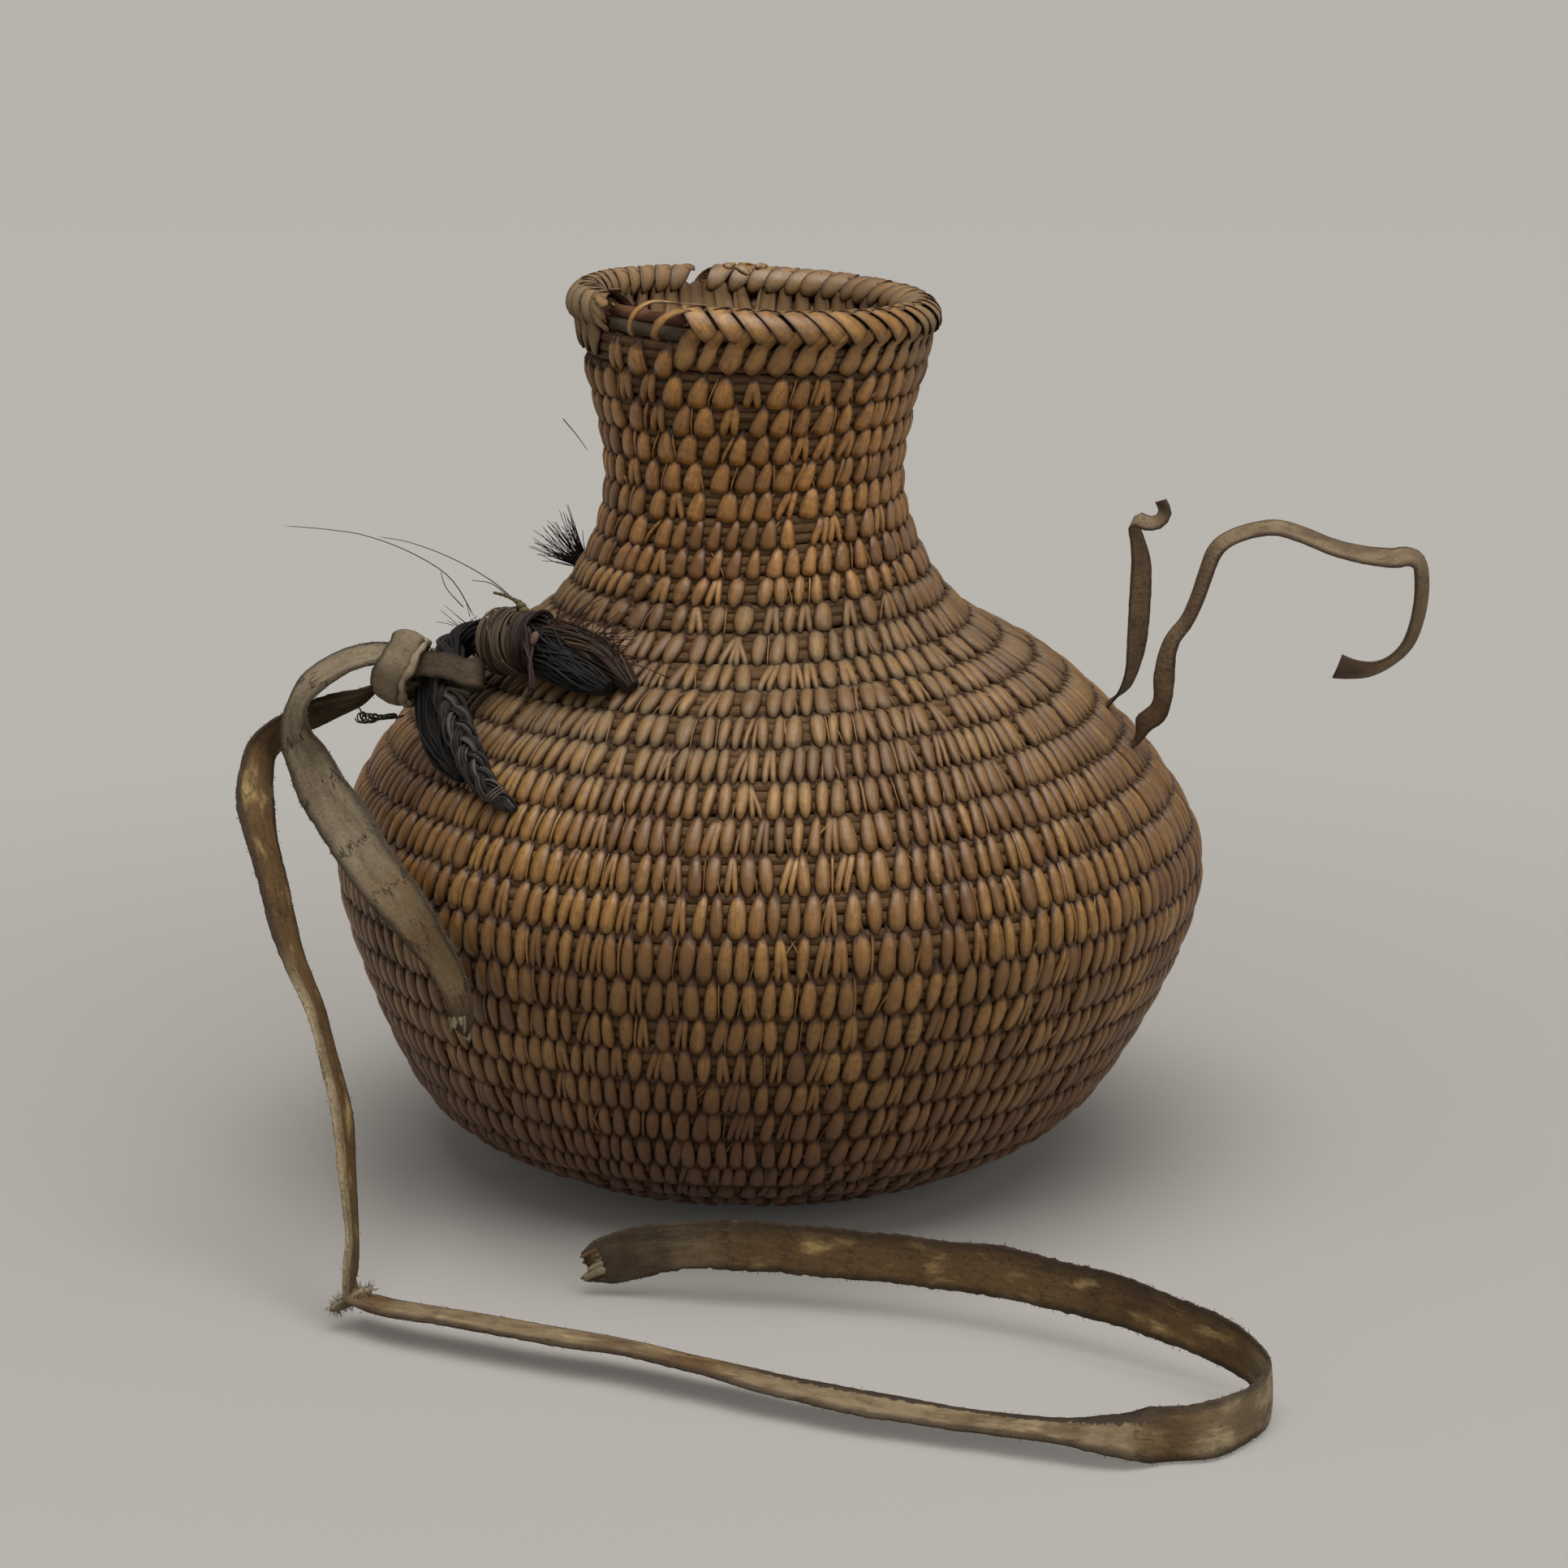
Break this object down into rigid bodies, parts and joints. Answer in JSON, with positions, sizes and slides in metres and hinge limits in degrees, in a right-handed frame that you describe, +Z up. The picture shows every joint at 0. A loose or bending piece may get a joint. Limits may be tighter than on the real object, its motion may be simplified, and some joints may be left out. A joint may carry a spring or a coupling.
{
  "type": "pitched basket water jar",
  "caption": "Coiled and stitched basket jar, pitched inside to hold water, with a flaring neck, a horsehair lug and hide carrying straps.",
  "frame": {"origin": "on the floor under the middle of the belly, at the middle of the jar's footprint", "axes": "+Z up through the mouth, -Y towards the front, +X towards the thong's side"},
  "size_m": [0.3256, 0.3585, 0.25],
  "materials": {
    "splint": "satin",
    "bare_rod": "matte",
    "pitch": "satin",
    "horsehair": "satin",
    "wrap_fibre": "matte",
    "lashing_twine": "matte",
    "strap_hide": "matte",
    "thong_hide": "matte"
  },
  "bodies": {
    "root": {"base_start_knot": "splint", "base_coil": "splint", "wall_course_01": "splint", "wall_course_02": "splint", "wall_course_03": "splint", "wall_course_04": "splint", "wall_course_05": "splint", "wall_course_06": "splint", "wall_course_07": "splint", "wall_course_08": "splint", "wall_course_09": "splint", "wall_course_10": "splint", "wall_course_11": "splint", "wall_course_12": "splint", "wall_course_13": "splint", "wall_course_14": "splint", "wall_course_15": "splint", "wall_course_16": "splint", "wall_course_17": "splint", "wall_course_18": "splint", "wall_course_19": "splint", "wall_course_20": "splint", "wall_course_21": "splint", "wall_course_22": "splint", "wall_course_23": "splint", "wall_course_24": "splint", "wall_course_25": "splint", "wall_course_26": "splint", "wall_course_27": "splint", "wall_course_28": "splint", "wall_course_29": "splint", "wall_course_30": "splint", "wall_course_31": "splint", "rim_coil_right": "splint", "rim_coil_left": "splint", "rim_rod_upper": "bare_rod", "rim_rod_lower": "bare_rod", "pitch_lining": "pitch", "lug_hair_rope": "horsehair", "lug_braid_leg": "horsehair", "lug_hair_bundle_upper": "horsehair", "lug_hair_bundle_lower": "horsehair", "rear_lug_tuft": "horsehair", "lug_fibre_wrap": "wrap_fibre", "lug_lashing": "lashing_twine", "lashing_twig": "lashing_twine", "strap_knot_collar": "strap_hide", "strap_knot_band": "strap_hide", "strap_tail": "strap_hide", "strap_long": "strap_hide", "thong_short_end": "thong_hide", "thong_long_end": "thong_hide", "thong_inner_loop": "thong_hide"}
  },
  "joints": []
}
